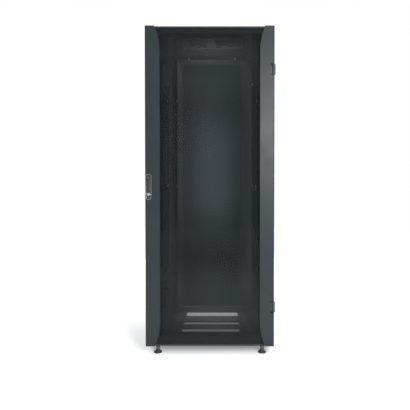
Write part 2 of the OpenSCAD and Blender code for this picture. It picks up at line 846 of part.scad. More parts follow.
// Rack outline: pitch line at x = 0, teeth first to last towards +X, a back of constant thickness up to end_z
function rack_outline(first, last, low_z, high_z) =
    let (
        half = pitch / 4 - backlash / 4,
        root = -1.25 * gear_module,
        rise = tan(pressure)
    )
    concat(
        [[root - rack_back, low_z], [root, low_z]],
        [for (t = [first : last]) each [
            [root, t * pitch - half + root * rise], [gear_module, t * pitch - half + gear_module * rise],
            [gear_module, t * pitch + half - gear_module * rise], [root, t * pitch + half - root * rise]
        ]],
        [[root, high_z], [root - rack_back, high_z]]
    );

// Latch rod that points up: rack beside the pinion, link, and a round rod with a tapered end
module latch_rod(side, phase, first, last, low_z, tip) {
    link_z = 56;
    link_h = 8;
    taper = 10;
    rack_x = pitch_r + 1.25 * gear_module + rack_back;
    translate([handle_x, 0, 0]) on_side(side) {
        translate([pitch_r, gear_y1, phase * pitch]) rotate([90, 0, 0]) mirror([1, 0, 0])
            linear_extrude(height = gear_y1 - gear_y0)
                polygon(rack_outline(first, last, low_z, link_z + link_h - phase * pitch));
        box([-rod_r, rod_y - 3, link_z], [rack_x, rod_y + 3, link_z + link_h]);
    }
    bar_z(handle_x, rod_y, link_z, tip - taper, rod_r);
    translate([handle_x, rod_y, tip - taper]) cylinder(r1 = rod_r, r2 = rod_r / 2, h = taper);
}

// The upper rod's rack is left of the pinion, with a tooth level with the spindle
module latch_rod_upper() {
    color(zinc) translate([0, 0, pivot_z])
        latch_rod(LEFT, 0, -2, 6, -12, keeper_high_z - rod_stop - pivot_z);
}

// The lower rod's rack is right of the pinion, with a gap level with the spindle
module latch_rod_lower() {
    color(zinc) translate([0, 0, pivot_z]) mirror([0, 0, 1])
        latch_rod(RIGHT, 0.5, -2, 6, -12, pivot_z - keeper_low_z - keeper_t - rod_stop);
}

// Back plate of the latch gear, on four posts from the strip
module latch_housing() {
    half = [19, 30];
    post = [8, 26];
    color(zinc) difference() {
        union() {
            box([handle_x - half[0], housing_y, pivot_z - half[1]],
                [handle_x + half[0], housing_y + housing_t, pivot_z + half[1]]);
            for (x = [-post[0], post[0]], z = [-post[1], post[1]])
                bar_y(handle_x + x, pivot_z + z, -face_y + sheet, housing_y, 2.5);
        }
        bar_y(handle_x, pivot_z, housing_y - slack, housing_y + housing_t + slack, tail_r + running);
    }
}

module rod_guides() {
    half = [9, 6];
    color(rubber) for (z = guide_z) difference() {
        box([handle_x - half[0], -face_y + sheet, z - half[1]], [handle_x + half[0], rod_y + 6.5, z + half[1]]);
        bar_z(handle_x, rod_y, z - half[1] - slack, z + half[1] + slack, rod_r + running);
    }
}

// Keepers on the frame: two angles with a hole for the rods, and a plate for the rear lock's cam
module latch_keepers() {
    half_x = 7;
    leaf = 12;
    front_y = -face_y + 2;
    keeper_x = handle_x - half_x + 2;
    rear_half = 25;
    color(zinc) {
        for (k = [[keeper_high_z, keeper_high_z - leaf + keeper_t], [keeper_low_z, keeper_low_z]]) {
            difference() {
                box([keeper_x, front_y, k[0]], [keeper_x + 2 * half_x, -frame_y, k[0] + keeper_t]);
                bar_z(handle_x, rod_y, k[0] - slack, k[0] + keeper_t + slack, rod_r + 0.6);
            }
            box([keeper_x, -frame_y - roof_t, k[1]], [keeper_x + 2 * half_x, -frame_y, k[1] + leaf]);
        }
        box([in_x - 12, frame_y - 5, rear_lock_z - rear_half], [in_x, frame_y - 2, rear_lock_z + rear_half]);
    }
}

// ---------------------------------------------------------------- rear door

// Rear door: a pan with a recessed field
module rear_door_panel() {
    field_x = in_x - 46;
    field_z = [door_z0 + 100, door_z1 - 100];
    recess = 4;
    rim = 2;
    color(coat) difference() {
        union() {
            difference() {
                box([-door_x, door_back, door_z0], [door_x, face_y, door_z1]);
                box([-door_x + sheet, door_back - slack, door_z0 + sheet],
                    [door_x - sheet, face_y - sheet, door_z1 - sheet]);
            }
            wide_box(field_x + rim, [face_y - recess - sheet, field_z[0] - rim], [face_y, field_z[1] + rim]);
        }
        wide_box(field_x, [face_y - recess, field_z[0]], [face_y + slack, field_z[1]]);
        rotate([0, 0, 180]) hinge_notches();
        bar_y(rear_lock_x, rear_lock_z, face_y - sheet - slack, face_y + slack, rear_spindle_r + 3.2);
    }
}

module rear_door_stiffeners() {
    hat = [40, 14.5];
    hat_x = 150;
    field_back = face_y - 5.5;
    low_z = door_z0 + 110;
    high_z = door_z1 - 110;
    color(coat) for (x = [-hat_x, hat_x]) difference() {
        box([x - hat[0] / 2, field_back - hat[1], low_z], [x + hat[0] / 2, field_back, high_z]);
        box([x - hat[0] / 2 + sheet, field_back - hat[1] + sheet, low_z - slack],
            [x + hat[0] / 2 - sheet, field_back + slack, high_z + slack]);
    }
}

module rear_lock_body() {
    color(chrome) difference() {
        union() {
            bar_y(rear_lock_x, rear_lock_z, face_y, face_y + 6, 17);
            bar_y(rear_lock_x, rear_lock_z, face_y - 20, face_y, rear_spindle_r + 3);
            translate([rear_lock_x, face_y - sheet - 6, rear_lock_z]) rotate([-90, 0, 0])
                cylinder(r = 15, h = 6, $fn = 6);
        }
        bar_y(rear_lock_x, rear_lock_z, face_y - 20 - slack, face_y + 6 + slack, rear_spindle_r + running);
    }
}

// Rear lock spindle with a slot for the key and the cam, which hangs down when unlocked
module rear_lock_cam() {
    cam_y = frame_y - 10;
    cam_t = 3;
    cam_half = 8;
    key = [2, 10, 3];
    front_y = face_y + 7;
    color(zinc) difference() {
        union() {
            bar_y(rear_lock_x, rear_lock_z, cam_y, front_y, rear_spindle_r);
            box([rear_lock_x - cam_half, cam_y, rear_lock_z - cam_len + 2],
                [rear_lock_x + cam_half, cam_y + cam_t, rear_lock_z + cam_half]);
        }
        box([rear_lock_x - key[0] / 2, front_y - key[2], rear_lock_z - key[1] / 2],
            [rear_lock_x + key[0] / 2, front_y + slack, rear_lock_z + key[1] / 2]);
    }
}

// ---------------------------------------------------------------- side panels

// Side panel: a pan with two stiffening ribs and a hole for its latch
module side_panel(side) {
    depth = 16;
    half_y = frame_y - 4;
    rib = [10, 30];
    rib_y = 170;
    rib_end = 60;
    color(coat) on_side(side) difference() {
        union() {
            difference() {
                box([door_x - depth, -half_y, side_panel_z[0]], [door_x, half_y, side_panel_z[1]]);
                box([door_x - depth - slack, -half_y + sheet, side_panel_z[0] + sheet],
                    [door_x - sheet, half_y - sheet, side_panel_z[1] - sheet]);
            }
            for (y = [-rib_y, rib_y])
                box([door_x - sheet - rib[0], y - rib[1] / 2, side_panel_z[0] + rib_end],
                    [door_x - sheet, y + rib[1] / 2, side_panel_z[1] - rib_end]);
        }
        for (y = [-rib_y, rib_y])
            box([door_x - rib[0], y - rib[1] / 2 + sheet, side_panel_z[0] + rib_end - slack],
                [door_x - sheet, y + rib[1] / 2 - sheet, side_panel_z[1] - rib_end + slack]);
        bar_x(0, side_latch_z, door_x - sheet - slack, door_x + slack, side_latch_r + running);
    }
}

// Quarter-turn latch of a side panel: slotted head, shaft and a cam that lies level when open
module side_latch(side) {
    head_r = 11;
    head_t = 2.5;
    cam_x = frame_x - 8;
    cam_t = 3;
    cam_half = 8;
    reach = 34;
    key = [2, 12, 1.5];
    head_x = door_x + 0.1;
    color(zinc) on_side(side) difference() {
        union() {
            bar_x(0, side_latch_z, head_x, head_x + head_t, head_r);
            bar_x(0, side_latch_z, cam_x, head_x, side_latch_r);
            box([cam_x, -cam_half, side_latch_z - cam_half], [cam_x + cam_t, reach, side_latch_z + cam_half]);
        }
        box([head_x + head_t - key[2], -key[1] / 2, side_latch_z - key[0] / 2],
            [head_x + head_t + slack, key[1] / 2, side_latch_z + key[0] / 2]);
    }
}

base_frame();
top_frame();
corner_post(LEFT, FRONT);  // post_front_left
corner_post(RIGHT, FRONT);  // post_front_right
corner_post(LEFT, REAR);  // post_rear_left
corner_post(RIGHT, REAR);  // post_rear_right
mounting_rail(LEFT, FRONT);  // rail_front_left
mounting_rail(RIGHT, FRONT);  // rail_front_right
mounting_rail(LEFT, REAR);  // rail_rear_left
mounting_rail(RIGHT, REAR);  // rail_rear_right
depth_braces();
rail_brackets();
bracket_bolts();
base_panel();
base_cover();
slide_guides();
base_slide();
roof_panel();
roof_grommet();
fan_tray();
fan_housings();
fan_guards();
fan_rotor(LEFT);  // fan_rotor_left
fan_rotor(RIGHT);  // fan_rotor_right
earth_studs();
panel_screws();
foot_nuts();
levelling_foot(LEFT, FRONT);  // foot_front_left
levelling_foot(RIGHT, FRONT);  // foot_front_right
levelling_foot(LEFT, REAR);  // foot_rear_left
levelling_foot(RIGHT, REAR);  // foot_rear_right
front_hinge_brackets();
front_hinge_knuckles();
rear_hinge_brackets();
rear_hinge_knuckles();
latch_keepers();
door_strip_left();
door_strip_right();
door_glass();
glass_seal();
door_rail(1);  // door_rail_top
door_rail(0);  // door_rail_bottom
handle_base();
handle_spindle();
handle_lever();
lock_collar();
lock_plug();
latch_housing();
latch_rod_upper();
latch_rod_lower();
rod_guides();
rear_door_panel();
rear_door_stiffeners();
rear_lock_body();
rear_lock_cam();
side_panel(LEFT);  // side_panel_left
side_panel(RIGHT);  // side_panel_right
side_latch(LEFT);  // side_latch_left
side_latch(RIGHT);  // side_latch_right
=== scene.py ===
"""Looks of a 42-unit network cabinet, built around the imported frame. Metres, X right, Y back, Z up."""
import json
import math
import random

import bmesh
import bpy
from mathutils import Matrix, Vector


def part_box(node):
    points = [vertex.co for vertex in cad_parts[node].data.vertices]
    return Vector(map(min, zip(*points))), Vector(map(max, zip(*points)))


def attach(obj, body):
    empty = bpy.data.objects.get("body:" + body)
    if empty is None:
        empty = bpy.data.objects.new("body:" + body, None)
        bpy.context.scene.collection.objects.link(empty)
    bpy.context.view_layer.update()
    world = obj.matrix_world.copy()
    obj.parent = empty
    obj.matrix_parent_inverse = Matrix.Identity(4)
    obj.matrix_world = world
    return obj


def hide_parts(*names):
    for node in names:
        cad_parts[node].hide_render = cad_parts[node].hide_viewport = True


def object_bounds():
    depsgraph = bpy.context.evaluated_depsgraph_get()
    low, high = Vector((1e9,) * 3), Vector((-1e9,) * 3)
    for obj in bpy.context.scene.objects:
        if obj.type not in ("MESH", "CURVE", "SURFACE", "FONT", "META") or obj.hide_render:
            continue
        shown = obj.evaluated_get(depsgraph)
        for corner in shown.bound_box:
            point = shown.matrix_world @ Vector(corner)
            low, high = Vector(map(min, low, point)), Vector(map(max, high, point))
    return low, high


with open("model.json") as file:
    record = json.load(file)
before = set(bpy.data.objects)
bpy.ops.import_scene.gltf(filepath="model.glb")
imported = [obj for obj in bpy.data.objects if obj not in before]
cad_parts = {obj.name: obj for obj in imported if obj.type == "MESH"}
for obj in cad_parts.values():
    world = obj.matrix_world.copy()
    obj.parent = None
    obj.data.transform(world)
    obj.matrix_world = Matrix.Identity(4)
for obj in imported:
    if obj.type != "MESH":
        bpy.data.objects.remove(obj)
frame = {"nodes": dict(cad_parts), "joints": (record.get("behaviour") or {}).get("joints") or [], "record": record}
nodes = frame["nodes"]
cad_low, cad_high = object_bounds()
scene = bpy.context.scene
MM = 0.001

# ------------------------------------------------------------------ camera
CAMERA_SIDE = 0.076        # right of the cabinet's middle
CAMERA_GAP = 2.742         # in front of the handle's grip
CAMERA_HEIGHT = 1.038
CAMERA_PITCH = -1.07       # degrees, looking down
LENS = 39.23
CAMERA_SHIFT = (-0.0415, -0.019)
SENSOR_WIDTH = 36
VIEW_END = 60


def make_camera():
    data = bpy.data.cameras.new("camera")
    data.lens = LENS
    data.sensor_width = SENSOR_WIDTH
    data.shift_x, data.shift_y = CAMERA_SHIFT
    data.clip_end = VIEW_END
    cam = bpy.data.objects.new("camera", data)
    cam.location = (CAMERA_SIDE, cad_low.y - CAMERA_GAP, CAMERA_HEIGHT)
    cam.rotation_euler = (math.radians(90 + CAMERA_PITCH), 0, 0)
    scene.collection.objects.link(cam)
    scene.camera = cam


make_camera()

# ------------------------------------------------------------------ materials

GLASS_ALPHA = 0.46         # each of the pane's two faces counts once
GLASS_GLOSS = 0.12
COAT_GRAIN = 1300          # pores of the powder coat, per metre of noise space
WORN_RIM = 0.0009          # width of the wear along a coated edge


class Finish:
    """A material with a Principled shader and short calls for the nodes in front of it."""

    def __init__(self, name):
        self.mat = bpy.data.materials.new(name)
        self.mat.use_nodes = True
        tree = self.mat.node_tree
        self.nodes, self.links = tree.nodes, tree.links
        self.shader = self.nodes["Principled BSDF"]
        self.place = self.nodes.new("ShaderNodeTexCoord").outputs["Object"]

    def add(self, kind, values=None, **settings):
        node = self.nodes.new("ShaderNode" + kind)
        for key, value in settings.items():
            setattr(node, key, value)
        for key, value in (values or {}).items():
            if isinstance(value, bpy.types.NodeSocket):
                self.links.new(value, node.inputs[key])
            else:
                node.inputs[key].default_value = value
        return node

    def stretch(self, x, y, z):
        return self.add("Mapping", {"Vector": self.place, "Scale": (x, y, z)}).outputs["Vector"]

    def noise(self, scale, detail=2.0, where=None, rough=0.5):
        values = {"Vector": where or self.place, "Scale": scale, "Detail": detail, "Roughness": rough}
        return self.add("TexNoise", values).outputs["Fac"]

    def span(self, fac, low, high, start=0.3, end=0.7):
        values = {"Value": fac, "From Min": start, "From Max": end, "To Min": low, "To Max": high}
        return self.add("MapRange", values).outputs["Result"]

    def mix(self, fac, a, b):
        node = self.add("Mix", {0: fac}, data_type="RGBA")
        for index, value in ((6, a), (7, b)):
            if isinstance(value, bpy.types.NodeSocket):
                self.links.new(value, node.inputs[index])
            else:
                node.inputs[index].default_value = (*value, 1)
        return node.outputs[2]

    def math(self, operation, a, b):
        return self.add("Math", {0: a, 1: b}, operation=operation).outputs[0]

    def edges(self, radius):
        """1 along sharp edges and 0 on flat faces, broken up by noise."""
        soft = self.add("Bevel", {"Radius": radius}, samples=4).outputs["Normal"]
        hard = self.add("NewGeometry").outputs["Normal"]
        flat = self.add("VectorMath", {0: soft, 1: hard}, operation="DOT_PRODUCT").outputs["Value"]
        rim = self.span(flat, 1, 0, 0.9, 0.999)
        return self.math("MULTIPLY", rim, self.span(self.noise(60, 3), 0.2, 1, 0.4, 0.62))

    def bump(self, height, strength, distance):
        values = {"Height": height, "Strength": strength, "Distance": distance}
        self.set("Normal", self.add("Bump", values).outputs["Normal"])

    def set(self, name, value):
        if isinstance(value, bpy.types.NodeSocket):
            self.links.new(value, self.shader.inputs[name])
        elif isinstance(value, tuple) and len(value) == 3:
            self.shader.inputs[name].default_value = (*value, 1)
        else:
            self.shader.inputs[name].default_value = value


def shade(colour, k):
    return tuple(min(1.0, c * k) for c in colour)


def powder_coat(name, colour, rough, gloss=0.3):
    """Slightly cloudy coat with fine pores, lighter where edges are worn."""
    f = Finish(name)
    cloud = f.span(f.noise(3.5, 4), 0, 1)
    tone = f.mix(cloud, shade(colour, 0.93), shade(colour, 1.07))
    pores = f.noise(COAT_GRAIN, 2)
    tone = f.mix(f.span(pores, 0, 0.35), tone, shade(colour, 1.5))
    tone = f.mix(f.math("MULTIPLY", f.edges(WORN_RIM), 0.45), tone, shade(colour, 2.6))
    f.set("Base Color", tone)
    f.set("Roughness", f.span(f.noise(11, 5), rough - 0.05, rough + 0.06))
    f.set("Specular IOR Level", gloss)
    orange_peel = f.math("MULTIPLY", f.noise(COAT_GRAIN / 5, 2), 0.8)
    f.bump(f.math("ADD", pores, orange_peel), 0.22, 0.0003)
    return f.mat


def smoked_glass():
    f = Finish("smoked_glass")
    haze = f.span(f.noise(2.2, 5, f.stretch(1, 1, 0.4)), 0, 1)
    f.set("Base Color", f.mix(haze, (0.010, 0.013, 0.015), (0.014, 0.018, 0.020)))
    f.set("Roughness", f.span(f.noise(2, 3), 0.015, 0.03))
    f.set("IOR", 1.5)
    f.set("Specular IOR Level", GLASS_GLOSS)
    f.set("Alpha", GLASS_ALPHA)
    return f.mat


def plated(name, colour, rough, brushed=(900, 900, 30), warm=(1.0, 1.0, 1.0)):
    """Metal with fine lines, stretched by the scales in brushed."""
    f = Finish(name)
    cloud = f.span(f.noise(45, 4), 0, 1)
    tint = tuple(c * w for c, w in zip(colour, warm))
    tone = f.mix(cloud, shade(colour, 0.9), tint)
    lines = f.noise(1, 3, f.stretch(*brushed))
    f.set("Base Color", f.mix(f.span(lines, 0, 0.25), tone, shade(colour, 0.78)))
    f.set("Metallic", 1.0)
    f.set("Roughness", f.span(lines, rough * 0.75, rough * 1.3))
    f.bump(lines, 0.12, 0.0001)
    return f.mat


def moulded(name, colour, rough, grain=900, lift=1.35):
    """Plastic, rubber or foam with pores that are lighter by lift."""
    f = Finish(name)
    pores = f.noise(grain, 3)
    cloud = f.span(f.noise(9, 4), 0, 1)
    tone = f.mix(cloud, shade(colour, 0.9), shade(colour, 1.1))
    f.set("Base Color", f.mix(f.span(pores, 0, 0.5), tone, shade(colour, lift)))
    f.set("Roughness", f.span(f.noise(30, 4), rough - 0.06, rough + 0.06))
    f.bump(pores, 0.3, 0.0002)
    return f.mat


MATERIALS = {
    "door_coat": powder_coat("door_coat", (0.019, 0.024, 0.027), 0.37, 0.2),
    "panel_coat": powder_coat("panel_coat", (0.027, 0.032, 0.036), 0.42),
    "frame_coat": powder_coat("frame_coat", (0.040, 0.045, 0.048), 0.48),
    "rail_coat": powder_coat("rail_coat", (0.060, 0.066, 0.070), 0.44),
    "smoked_glass": smoked_glass(),
    "zinc": plated("zinc", (0.60, 0.62, 0.63), 0.32, warm=(1.08, 1.05, 0.92)),
    "chrome": plated("chrome", (0.90, 0.91, 0.92), 0.28, (2500, 2500, 300)),
    "rubber": moulded("rubber", (0.016, 0.016, 0.017), 0.78),
    "black_plastic": moulded("black_plastic", (0.022, 0.023, 0.025), 0.5, 1500),
    "handle_black": moulded("handle_black", (0.020, 0.022, 0.024), 0.34, 2200, 1.2),
    "dark_steel": plated("dark_steel", (0.16, 0.165, 0.17), 0.4, (400, 400, 400)),
    "satin_metal": plated("satin_metal", (0.62, 0.64, 0.66), 0.42, (1500, 1500, 200)),
    "print": moulded("print", (0.42, 0.43, 0.43), 0.6, 700, 1.1),
    "foam": moulded("foam", (0.020, 0.020, 0.021), 0.85, 1600, 1.6),
    "nylon": moulded("nylon", (0.018, 0.019, 0.020), 0.45, 600, 1.3),
}

# ------------------------------------------------------------------ CAD nodes

SLOT_OF = {row["node"]: row["material_slot"] for row in frame["record"]["subparts"]}
# Radius of the rounded edges in each finish.
EDGE_WIDTH = {
    "door_coat": 0.0008, "panel_coat": 0.0007, "frame_coat": 0.0007, "rail_coat": 0.0005,
    "smoked_glass": 0.0008, "zinc": 0.0004, "chrome": 0.0004, "rubber": 0.0004,
    "black_plastic": 0.0005, "handle_black": 0.0006,
}
# Nodes whose finish differs from the one their slot is named after. Dark steel on the handle spindle and the rear
# lock cam is painted shade, so that they stay dark; the lighter rail coat on the fan housings is painted light.
PAINTED_SHADE_AND_LIGHT_FINISH = {
    "handle_spindle": "dark_steel", "rear_lock_cam": "dark_steel", "fan_housings": "rail_coat",
}
SAME_POINT = 0.00002


def finish_cad():
    """Gives each CAD node its finish, and modifiers that shade its flat faces flat and its edges round."""
    for name, obj in nodes.items():
        slot = SLOT_OF[name]
        obj.data.materials.clear()
        # The nodes listed above take their painted shade or painted light finish here instead of their slot's.
        obj.data.materials.append(MATERIALS[PAINTED_SHADE_AND_LIGHT_FINISH.get(name, slot)])
        weld = obj.modifiers.new("weld", "WELD")
        weld.merge_threshold = SAME_POINT
        flat = obj.modifiers.new("flat", "DECIMATE")
        flat.decimate_type = "DISSOLVE"
        flat.angle_limit = math.radians(0.3)
        bevel = obj.modifiers.new("bevel", "BEVEL")
        bevel.width = EDGE_WIDTH[slot]
        bevel.segments = 2
        bevel.limit_method = "ANGLE"
        bevel.angle_limit = math.radians(40)
        obj.modifiers.new("normals", "WEIGHTED_NORMAL").weight = 80
        for face in obj.data.polygons:
            face.use_smooth = True


finish_cad()

# ------------------------------------------------------------------ mesh helpers


def ring_angles(count):
    return [2 * math.pi * k / count for k in range(count)]


def circle(x, y, z, radius, count):
    """Points of a level circle."""
    return [(x + radius * math.cos(a), y + radius * math.sin(a), z) for a in ring_angles(count)]


def middle_of(low, high):
    return (low.x + high.x) / 2, (low.y + high.y) / 2


class Shape:
    """Closed forms collected in one mesh, in the row frame."""

    def __init__(self):
        self.bm = bmesh.new()

    def loft(self, rings, loop=False):
        """A skin through rings of points, capped at both ends, or joined end to end."""
        rows = [[self.bm.verts.new(p) for p in ring] for ring in rings]
        count = len(rows[0])
        pairs = list(zip(rows, rows[1:])) + ([(rows[-1], rows[0])] if loop else [])
        for a, b in pairs:
            for k in range(count):
                n = (k + 1) % count
                self.bm.faces.new((a[k], a[n], b[n], b[k]))
        if not loop:
            self.bm.faces.new(rows[0][::-1])
            self.bm.faces.new(rows[-1])

    def lathe(self, origin, axis, profile, count=32):
        """profile is (height along axis, radius) from one end to the other."""
        turn = Vector(axis).to_track_quat("Z", "Y").to_matrix()
        origin = Vector(origin)
        rings = []
        for h, r in profile:
            points = [Vector((r * math.cos(a), r * math.sin(a), h)) for a in ring_angles(count)]
            rings.append([origin + turn @ p for p in points])
        self.loft(rings)

    def tube(self, path, radius, count=8, loop=False):
        """A round bar along points; radius is one number or one for each point."""
        points = [Vector(p) for p in path]
        radii = radius if isinstance(radius, list) else [radius] * len(points)
        rings, side = [], None
        for k, p in enumerate(points):
            before = points[k - 1] if k or loop else p
            after = points[(k + 1) % len(points)] if k + 1 < len(points) or loop else p
            ahead = (after - before).normalized()
            if side is None:
                side = ahead.orthogonal().normalized()
            side = (side - ahead * side.dot(ahead)).normalized()
            up = ahead.cross(side)
            ways = [side * math.cos(a) + up * math.sin(a) for a in ring_angles(count)]
            rings.append([p + way * radii[k] for way in ways])
        self.loft(rings, loop)

    def slab(self, centre, u, v, half_u, half_v, depth, corner, edge, steps=5):
        """A plate with round corners and chamfered edges; it grows along u x v from centre."""
        centre, u, v = Vector(centre), Vector(u), Vector(v)
        w = u.cross(v)
        rings = []
        for h, inset in ((0, edge), (edge, 0), (depth - edge, 0), (depth, edge)):
            ring = []
            for quarter, (su, sv) in enumerate(((1, 1), (-1, 1), (-1, -1), (1, -1))):
                for k in range(steps + 1):
                    a = math.pi / 2 * (quarter + k / steps)
                    du = su * (half_u - corner) + math.cos(a) * (corner - inset)
                    dv = sv * (half_v - corner) + math.sin(a) * (corner - inset)
                    ring.append(centre + u * du + v * dv + w * h)
            rings.append(ring)
        self.loft(rings)

    def done(self, name, slot, body, stands_for=(), material=None, angle=35):
        """Makes the collected forms one piece on a body; edges sharper than angle stay hard."""
        bmesh.ops.recalc_face_normals(self.bm, faces=self.bm.faces)
        mesh = bpy.data.meshes.new(name)
        self.bm.to_mesh(mesh)
        self.bm.free()
        mesh.shade_smooth()
        mesh.set_sharp_from_angle(angle=math.radians(angle))
        obj = bpy.data.objects.new(name, mesh)
        scene.collection.objects.link(obj)
        mesh.materials.append(MATERIALS[material or slot])
        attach(obj, body)
        if stands_for:
            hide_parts(*stands_for)


def islands(node):
    """(lowest corner, highest corner) of each separate solid of a CAD node, sorted."""
    bm = bmesh.new()
    bm.from_mesh(nodes[node].data)
    bmesh.ops.remove_doubles(bm, verts=bm.verts, dist=SAME_POINT)
    left, found = set(bm.verts), []
    while left:
        todo, group = [left.pop()], []
        while todo:
            v = todo.pop()
            group.append(v.co.copy())
            near = {e.other_vert(v) for e in v.link_edges} & left
            left -= near
            todo += near
        low = Vector([min(p[k] for p in group) for k in range(3)])
        high = Vector([max(p[k] for p in group) for k in range(3)])
        found.append((low, high))
    bm.free()
    return sorted(found, key=lambda c: tuple(round(x, 4) for x in c[0]))


# ------------------------------------------------------------------ levelling feet

STUD_R = 8 * MM
COLLAR_R = 9.6 * MM
HEX_R = 13.5 * MM
TREAD_R = 1.15 * MM
# Height in millimetres and share of the pad's radius.
BELL = ((0, 0.72), (0.5, 0.80), (1.0, 0.82), (1.0, 0.96), (2.2, 1.0), (6.5, 1.0), (8.0, 0.97), (9.5, 0.90),
        (12, 0.75), (15, 0.63), (19, 0.535), (23, 0.475), (27, 0.435), (29, 0.41), (30, 0.37))


def thread(shape, x, y, z0, z1, radius, pitch=2 * MM, depth=0.75 * MM, count=24):
    """A screw thread along Z, as a helical ridge on a round bar."""
    rows = int((z1 - z0) / pitch * 4)
    rings = []
    for row in range(rows + 1):
        z = z0 + (z1 - z0) * row / rows
        fade = min(1, (z - z0) / pitch, (z1 - z) / pitch)
        ring = []
        for k, a in enumerate(ring_angles(count)):
            turn = ((z - z0) / pitch - k / count) % 1
            r = radius - depth * (1 - fade * abs(2 * turn - 1))
            ring.append((x + r * math.cos(a), y + r * math.sin(a), z))
        rings.append(ring)
    shape.loft(rings)


def levelling_foot(place):
    node = "foot_" + place
    low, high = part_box(node)
    x, y = middle_of(low, high)
    pad_r = (high.x - low.x) / 2
    pad = Shape()
    pad.lathe((x, y, low.z), (0, 0, 1), [(h * MM, k * pad_r) for h, k in BELL], 48)
    pad.done("foot_pad_" + place, "black_plastic", node, (node,), angle=50)
    tread = Shape()
    for share in (0.42, 0.60):
        tread.tube(circle(x, y, low.z + 1.2 * MM, share * pad_r, 24), TREAD_R, 6, True)
    tread.done("foot_tread_" + place, "rubber", node)
    stud = Shape()
    thread(stud, x, y, low.z + 40 * MM, high.z - 0.5 * MM, STUD_R)
    collar = [(0, STUD_R), (0.8 * MM, COLLAR_R), (3.5 * MM, COLLAR_R)]
    stud.lathe((x, y, low.z + 29.5 * MM), (0, 0, 1), collar)
    bevel_r = HEX_R - 1.1 * MM
    hexagon = [(0, bevel_r), (0.8 * MM, HEX_R), (7.2 * MM, HEX_R), (8 * MM, bevel_r)]
    stud.lathe((x, y, low.z + 33 * MM), (0, 0, 1), hexagon, 6)
    stud.done("foot_stud_" + place, "zinc", node, material="dark_steel")


for place in ("front_left", "front_right", "rear_left", "rear_right"):
    levelling_foot(place)

# ------------------------------------------------------------------ handle

# Height above the lever's tip in millimetres, share of its width, share of its thickness.
GRIP = ((0, 0.45, 0.35), (0.8, 0.70, 0.66), (2.5, 0.88, 0.88), (6, 0.97, 0.99), (12, 1.0, 1.0),
        (24, 0.97, 0.93), (36, 0.90, 0.86), (50, 0.86, 0.86), (62, 0.90, 0.93), (70, 0.97, 0.98))
FORK_H = 14 * MM
PIN_DROP = 5 * MM


def button_head(radius, height, socket):
    """Profile of a domed screw head with a round socket."""
    dome = [(0, radius), (height * 0.35, radius)]
    dome += [(height * (0.35 + 0.65 * math.sin(a)), radius * (0.42 + 0.58 * math.cos(a)))
             for a in (0.5, 0.9, 1.25, 1.5)]
    return dome + [(height, socket), (height - 0.9 * MM, socket * 0.92), (height - 0.95 * MM, 0.1 * MM)]


def handle_trim():
    """Bright rim and screws of the handle's base plate."""
    base_low, base_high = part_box("handle_base")
    x = (base_low.x + base_high.x) / 2
    front = base_low.y
    half = (base_high.x - base_low.x) / 2
    top, bottom = base_high.z, base_low.z
    cut, tip = 7 * MM, 10 * MM
    edge = 1.0 * MM
    outline = [(half - edge, top - cut), (half - cut, top - edge), (cut - half, top - edge),
               (edge - half, top - cut), (edge - half, bottom + tip + 4 * MM),
               (2 * MM + edge - half, bottom + tip), (0, bottom + edge),
               (half - edge - 2 * MM, bottom + tip), (half - edge, bottom + tip + 4 * MM)]
    rim = Shape()
    rim.tube([(x + u, front, z) for u, z in outline], 0.9 * MM, 8, True)
    rim.done("handle_rim", "zinc", "front_door", material="satin_metal")
    screws = Shape()
    for z in (top - 7.5 * MM, bottom + 16 * MM):
        screws.lathe((x, front + 1 * MM, z), (0, -1, 0), button_head(3.4 * MM, 1.35 * MM, 1.5 * MM))
    screws.done("handle_screws", "zinc", "front_door", material="dark_steel")


def lever_grip():
    """The waisted lever, with a fork of two ears round its pin."""
    lever_low, lever_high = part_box("handle_lever")
    x = (lever_low.x + lever_high.x) / 2
    lever = Shape()
    back, face = lever_high.y, lever_low.y
    end = lever_low.z
    middle = (back + face) / 2
    sections = [(end + h * MM, w, t) for h, w, t in GRIP] + [(lever_high.z - FORK_H, 1.0, 1.0)]
    half = (lever_high.x - lever_low.x) / 2
    rings = []
    for z, wide, thick in sections:
        ring = []
        for a in ring_angles(24):
            cu, cv = math.cos(a), math.sin(a)
            u = math.copysign(abs(cu) ** 0.55, cu) * half * wide
            v = math.copysign(abs(cv) ** 0.6, cv)
            ring.append((x + u, middle + v * (back - face) / 2 * (thick if v < 0 else 1), z))
        rings.append(ring)
    lever.loft(rings)
    pin_z = lever_high.z - PIN_DROP
    for side in (-1, 1):
        arch = [k / 12 * math.pi for k in range(13)]
        outline = [(-4.8, -14), (4.8, -14)] + [(4.95 * math.cos(a), 4.95 * math.sin(a)) for a in arch]
        rings = []
        for h, inset in ((5.5, 0.3), (5.8, 0), (9.5, 0), (10, 0.5)):
            ky, kz = MM * (1 - inset / 5), MM * (1 - inset / 14)
            rings.append([(x + side * h * MM, middle + u * ky, pin_z + w * kz) for u, w in outline])
        lever.loft(rings)
    lever.done("lever_grip", "handle_black", "handle_lever", ("handle_lever",), angle=40)


handle_trim()
lever_grip()

# ------------------------------------------------------------------ small hardware

RACK_UNITS, UNIT = 42, 44.45 * MM
GUARD_RINGS = (12, 22, 32, 42, 52)
GUARD_REACH = 62 * MM
WIRE_R = 0.8 * MM
# Height and radius of a hinge pin's cap and of a guard's foot, in millimetres.
PIN_CAP = ((0, 5.6), (1.2, 5.6), (2.1, 4.6), (2.5, 2.6))
GUARD_FOOT = ((0, 3.2), (0.3, 3.5), (1.3, 3.2), (1.6, 1.6))
# Section of the foam: across, and out from the door.
FOAM = ((-4.5, 0), (-4.5, 1.2), (-4, 2.6), (-2.8, 3.8), (-1, 4.4), (1, 4.4), (2.8, 3.8), (4, 2.6), (4.5, 1.2),
        (4.5, 0))
BRISTLE_PITCH = 1.25 * MM


def in_mm(profile):
    return [(h * MM, r * MM) for h, r in profile]


